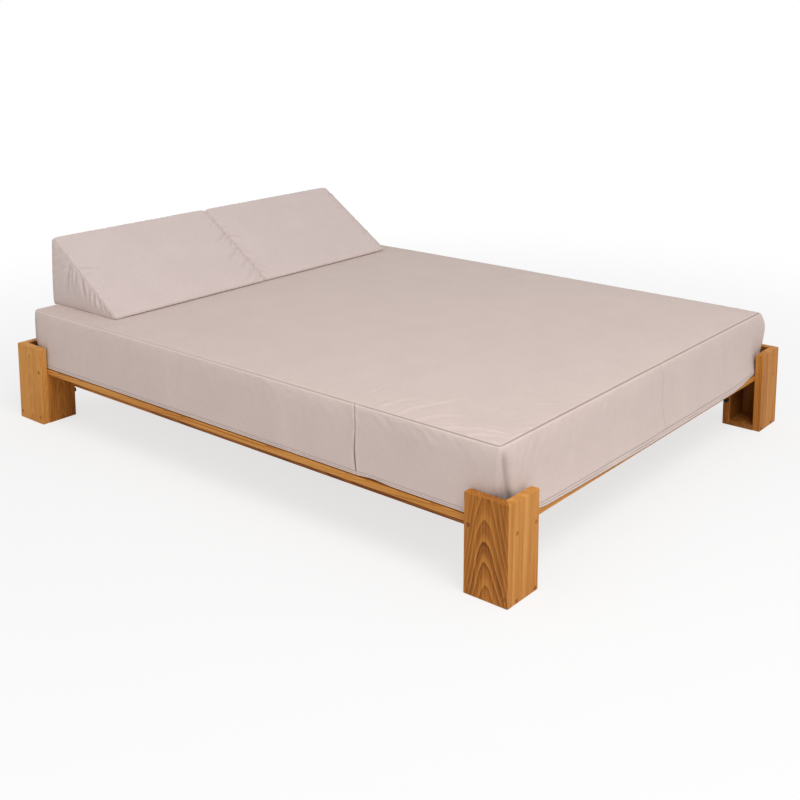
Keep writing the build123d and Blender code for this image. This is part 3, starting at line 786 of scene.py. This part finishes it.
def wedgeShape(look, lowX):
    # One section carried across the width, drawn in a little at both ends. Each end panel is a patch between
    # the section's four paths: their straight blends along and up, added, less the blend of the four corners.
    half = spread(np.array(look["edgeSteps"]), look["step"], look["width"] / 2)
    xs = np.concatenate([half, look["width"] - half[-2::-1]])
    fromEnd = np.minimum(xs, look["width"] - xs)
    u, v = (np.concatenate([look[name], np.linspace(0, 1, count)[2:-2], 1 - np.array(look[name])[::-1]])
            for name, count in (("closeAlongShares", look["along"]), ("closeUpShares", look["up"])))
    bottom, rise, loops, sides = look["bottom"], look["top"] - look["bottom"], [], []
    for away in fromEnd:
        inset = look["endRoll"] * math.exp(-away / look["rollLength"])
        full = 1 - math.exp(-away / look["bulgeRun"])
        corners = np.array([(look["toe"] + inset * 1.5, bottom), (look["heel"] - inset * 0.5, bottom),
                            (look["back"] - inset * 0.5, bottom + rise - inset)])
        paths = sectionSides(corners, look["radii"], [bulge * full for bulge in look["bulges"]])
        shares = (u, v, 1 - u[::-1], 1 - v[::-1])
        under, back, slope, toe = (evened(path, places) for path, places in zip(paths, shares))
        sides.append((under, back, slope[::-1], toe[::-1]))
        loops.append(np.concatenate([under[:-1], back[:-1], slope[:-1], toe[:-1]]))
    loops = np.array(loops)
    count, around = loops.shape[:2]
    n, m = len(u), len(v)
    tube = np.stack([np.broadcast_to(xs[:, None] + lowX, (count, around)), loops[..., 0], loops[..., 1]], -1)
    tubeIndex = np.arange(count * around).reshape(count, around)
    wrapped = np.concatenate([tubeIndex, tubeIndex[:, :1]], 1)
    run = np.concatenate([[0], np.cumsum(np.linalg.norm(np.diff(loops[count // 2], axis=0), axis=1))])
    points, faces = [tube.reshape(-1, 3)], [gridFaces(wrapped)[:, ::-1]]
    uvs = [np.stack(np.broadcast_arrays(xs[:, None], run[None, :]), -1).reshape(-1, 2)]
    kind, seamPlace = [np.zeros(count * around)], [np.broadcast_to(run, (count, around)).ravel()]
    away = [np.broadcast_to(fromEnd[:, None], (count, around)).ravel()]
    base = count * around
    slant = unit(np.array([look["back"] - look["toe"], rise]))
    for end, outward in ((0, -1), (count - 1, 1)):
        under, back, slope, toe = sides[end]
        a, b = u[:, None, None], v[None, :, None]
        patch = ((1 - b) * under[:, None] + b * slope[:, None] + (1 - a) * toe[None] + a * back[None]
                 - (1 - a) * (1 - b) * under[0] - a * (1 - b) * under[-1]
                 - (1 - a) * b * slope[0] - a * b * slope[-1])
        ring = tubeIndex[end]
        index = np.empty((n, m), int)
        index[:-1, 0], index[-1, :-1] = ring[:n - 1], ring[n - 1:n + m - 2]
        index[:0:-1, -1], index[0, :0:-1] = ring[n + m - 2:2 * n + m - 3], ring[2 * n + m - 3:]
        inner = patch[1:-1, 1:-1]
        index[1:-1, 1:-1] = base + np.arange(inner.size // 2).reshape(inner.shape[:2])
        py, pz = inner[..., 0], inner[..., 1]
        underSlope = (py - look["toe"]) * slant[1] - (pz - bottom) * slant[0]
        inside = np.minimum(np.minimum(pz - bottom, look["heel"] - py), underSlope)
        inside = np.maximum(inside - 0.001, 0.0004)
        x = lowX + xs[end] + outward * look["dome"] * (1 - np.exp(-inside / look["domeRun"]))
        points.append(np.stack([x, py, pz], -1).reshape(-1, 3))
        faces.append(gridFaces(index)[:, ::outward])
        uvs.append(inner.reshape(-1, 2))
        kind.append(np.full(py.size, outward))
        seamPlace.append(np.broadcast_to(np.arange(n)[1:-1, None] / n * 0.45, py.shape).ravel())
        away.append(inside.ravel())
        base += py.size
    points, uvs, kind, seamPlace, away = map(np.concatenate, (points, uvs, kind, seamPlace, away))
    return points, faces, uvs, kind, seamPlace, away, [tubeIndex[0], tubeIndex[-1]]


def creased(share, aside, depth, width):
    # a valley that is deepest near its start and widens as it dies out, with a low swell on each side
    wide = width * (0.7 + 0.6 * np.clip(share, 0, 1))
    fade = ramped(share, -0.12, 0.12) * (1 - ramped(share, 0.35, 1.05))
    return depth * fade * (0.55 * bump(np.abs(aside), 2.1 * wide, 1.1 * wide) - bump(aside, 0, wide))


def wedgeDetail(look, points, kind, seamPlace, away):
    # Along their normals the points take the puckers, the end panels' folds, fine gathers beside the end
    # seams and a groove each side of the piping; the tone paints shade in those grooves, in the valleys of
    # the puckers and folds and under the toe, and lightens the toe's welt.
    x, y, z = points.T
    rise = unit(np.array([look["back"] - look["toe"], look["top"] - look["bottom"]]))
    up = (y - look["toe"]) * rise[0] + (z - look["bottom"]) * rise[1]
    off = (z - look["bottom"]) * rise[0] - (y - look["toe"]) * rise[1]
    sloping, panel = (kind == 0) & (off > -0.012), kind != 0
    wave = np.interp(seamPlace, look["gatherPlaces"], look["gatherHeights"])
    move = 0.0012 * wave * ramped(away, 0.001, 0.008) * np.exp(-away / np.where(panel, 0.035, 0.020))
    folded = []
    for x0, up0, x1, up1, depth in look["puckers"]:
        share, aside = lineFrom(x, up, x0, up0, x1, up1)[:2]
        folded.append(sloping * creased(share, aside, depth * look["puckerDepth"], look["puckerWidth"]))
    for y0, z0, y1, z1, depth, width in look["folds"]:
        share, aside = lineFrom(y, z, y0, z0, y1, z1)[:2]
        valley = creased(share, aside, depth * look["foldDepth"], width)
        folded.append(panel * valley * ramped(away, 0, 0.004))
    move += sum(folded) - 0.0012 * bump(away, 0.0026, 0.0018)
    # painted shade in the valleys of the puckers and folds
    shadow = sum(np.clip(-groove, 0, None) for groove in folded)
    # painted shade in the grooves beside the piping
    seam = bump(away, np.where(panel, 0.0014, 0.0026), np.where(panel, 0.0016, 0.0011))
    tone = np.where(panel, look["foldShade"], look["puckerShade"]) * shadow + 0.7 * seam
    # painted shadow under the toe, and a paler line along its welt
    toe = (kind == 0) & (y < look["toe"] + 0.03)
    tone += toe * (0.9 * bump(z, look["bottom"] + 0.0008, 0.0022) - 0.3 * sloping * bump(up, 0.016, 0.0035))
    return move, np.clip(tone, -0.8, 1)


def pipeAlong(path, radius, sides=8):
    # A round section carried along a closed path: across is square to the path and to the path's own flat
    # side.
    ahead = np.roll(path, -1, 0) - np.roll(path, 1, 0)
    ahead /= np.linalg.norm(ahead, axis=1, keepdims=True)
    flat = np.array([1.0, 0, 0]) if np.ptp(path[:, 0]) < np.ptp(path[:, 2]) else np.array([0, 0, 1.0])
    across = np.cross(ahead, flat)
    across /= np.linalg.norm(across, axis=1, keepdims=True)
    other = np.cross(ahead, across)
    turn = np.arange(sides) / sides * 2 * math.pi
    ring = np.cos(turn)[None, :, None] * across[:, None] + np.sin(turn)[None, :, None] * other[:, None]
    points = path[:, None] + ring * radius
    index = np.arange(len(path) * sides).reshape(len(path), sides)
    index = np.concatenate([index, index[:1]])
    index = np.concatenate([index, index[:, :1]], 1)
    return points.reshape(-1, 3), [gridFaces(index)[:, ::-1]]


def keptClear(look, points, split, gap):
    # above the mattress, and a gap away from the middle line on the wedge's own side
    x = -split * np.maximum(-split * points[:, 0], gap)
    return np.stack([x, points[:, 1], np.maximum(points[:, 2], look["bottom"])], -1)


for side, split in (("left", 1), ("right", -1)):  # split: the kind of the end panel beside the other wedge
    points, faces, uv, kind, seamPlace, away, seams = wedgeShape(wedge, wedge["lowX"][side])
    wedge["gatherPlaces"], wedge["gatherHeights"] = seamWaves(seamPlace.max(), 0.012, 0.6, rng)
    points[:, 0] += rng.uniform(-1, 1, len(points)) * 0.0002 * (kind != 0)
    piece = meshPiece(f"{side}_wedge_cushion", points, faces, wedgeCloth, uv)
    # the underside stays, and the panel beside the other wedge and the top corners give way less
    hold = 0.3 + 0.3 * ramped(away, 0.035, 0.1) + 0.5 * bump(away, 0, 0.004)
    hold = np.where((kind == 0) & (points[:, 2] < wedge["bottom"] + 0.0015), 1.0, hold)
    hold = np.where(kind == split, 0.6, hold)
    ear = np.hypot(points[:, 1] - wedge["back"], points[:, 2] - wedge["top"])
    hold = np.maximum(hold, 0.9 * bump(ear, 0, 0.05) * (1 - ramped(away, 0.04, 0.12)))
    points = inflate(piece, wedge, hold, bump(away, 0, 0.005))
    points = keptClear(wedge, points, split, wedge["halfSplit"])
    writePoints(piece.data, points)
    move, tone = wedgeDetail(wedge, points, kind, seamPlace, away)
    points = points + readNormals(piece.data) * move[:, None]
    points = keptClear(wedge, points, split, wedge["leastSplit"])
    writePoints(piece.data, points)
    setTone(piece.data, tone)
    for end, seam in zip(("left", "right"), seams):
        path = points[seam] + (points[seam] - points[seam].mean(0)) * wedge["pipeShare"]
        pipe = meshPiece(f"{side}_wedge_{end}_piping", *pipeAlong(path, wedge["pipe"]), pipingCloth)
        pipe.parent = piece
    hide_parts(f"{side}_wedge_cover", f"{side}_wedge_foam")
    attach(piece, f"{side}_wedge")
print("wedges made")


# studio

studio = {
    "lamps": (((-1.55, -3.0, 4.1), 2.4, 124), ((-5.2, 1.8, 2.6), 3.0, 24)), "aim": (0, 0, 0.3), "sky": 0.52,
    # the floor is plain near the object, where its shadow falls, and white further out
    "floorSize": 40, "floorTone": 0.86, "whiteFrom": 1.2, "whiteTo": 3.6, "leastWhite": 0.72,
    "eye": (-3.0725, -2.5549, 1.5055), "yaw": 50.466, "pitch": -9.175, "lens": 52.912, "shift": -0.275,
}

floorMesh = bpy.data.meshes.new("floor")
half = studio["floorSize"] / 2
floorMesh.from_pydata([(-half, -half, 0), (half, -half, 0), (half, half, 0), (-half, half, 0)], [],
                      [(0, 1, 2, 3)])
floor = bpy.data.objects.new("floor", floorMesh)
bpy.context.scene.collection.objects.link(floor)
floorWhite, wire = newMaterial("floorWhite")
x, y = wire.objectPlace().split()[:2]
far = ((x * x + y * y) ** 0.5).between(studio["whiteFrom"], studio["whiteTo"], studio["leastWhite"], 1.0)
plain = wire.node("BsdfDiffuse", {}, {"Color": (studio["floorTone"],) * 3})
glow = wire.node("Emission", {}, {"Color": (1, 1, 1), "Strength": 1.0})
both = wire.node("MixShader", {}, {0: wire.seenDirectly() * far, 1: plain, 2: glow})
wire.node("OutputMaterial", {}, {"Surface": both})
floorMesh.materials.append(floorWhite)

world = bpy.data.worlds.new("studioSky")
bpy.context.scene.world = world
world.use_nodes = True
world.node_tree.nodes.clear()
wire = Wire(world.node_tree)
brightness = wire.seenDirectly() * (1 - studio["sky"]) + studio["sky"]
sky = wire.node("Background", {}, {"Color": (1, 1, 1), "Strength": brightness})
wire.node("OutputWorld", {}, {"Surface": sky})

for number, (place, size, watts) in enumerate(studio["lamps"]):
    lamp = bpy.data.objects.new(f"softLamp{number}", bpy.data.lights.new(f"softLamp{number}", "AREA"))
    lamp.data.shape, lamp.data.size, lamp.data.energy = "SQUARE", size, watts
    bpy.context.scene.collection.objects.link(lamp)
    lamp.location = place
    aim = np.array(studio["aim"]) - np.array(place)
    lamp.rotation_euler = (math.atan2(math.hypot(aim[0], aim[1]), -aim[2]), 0, math.atan2(-aim[0], aim[1]))

camera = bpy.data.objects.new("camera", bpy.data.cameras.new("camera"))
bpy.context.scene.collection.objects.link(camera)
camera.location = studio["eye"]
camera.rotation_euler = (math.radians(90 + studio["pitch"]), 0, math.radians(-studio["yaw"]))
camera.data.lens, camera.data.shift_y = studio["lens"], studio["shift"]
bpy.context.scene.camera = camera
bpy.context.scene.view_settings.view_transform = "Standard"

print("scene ready")
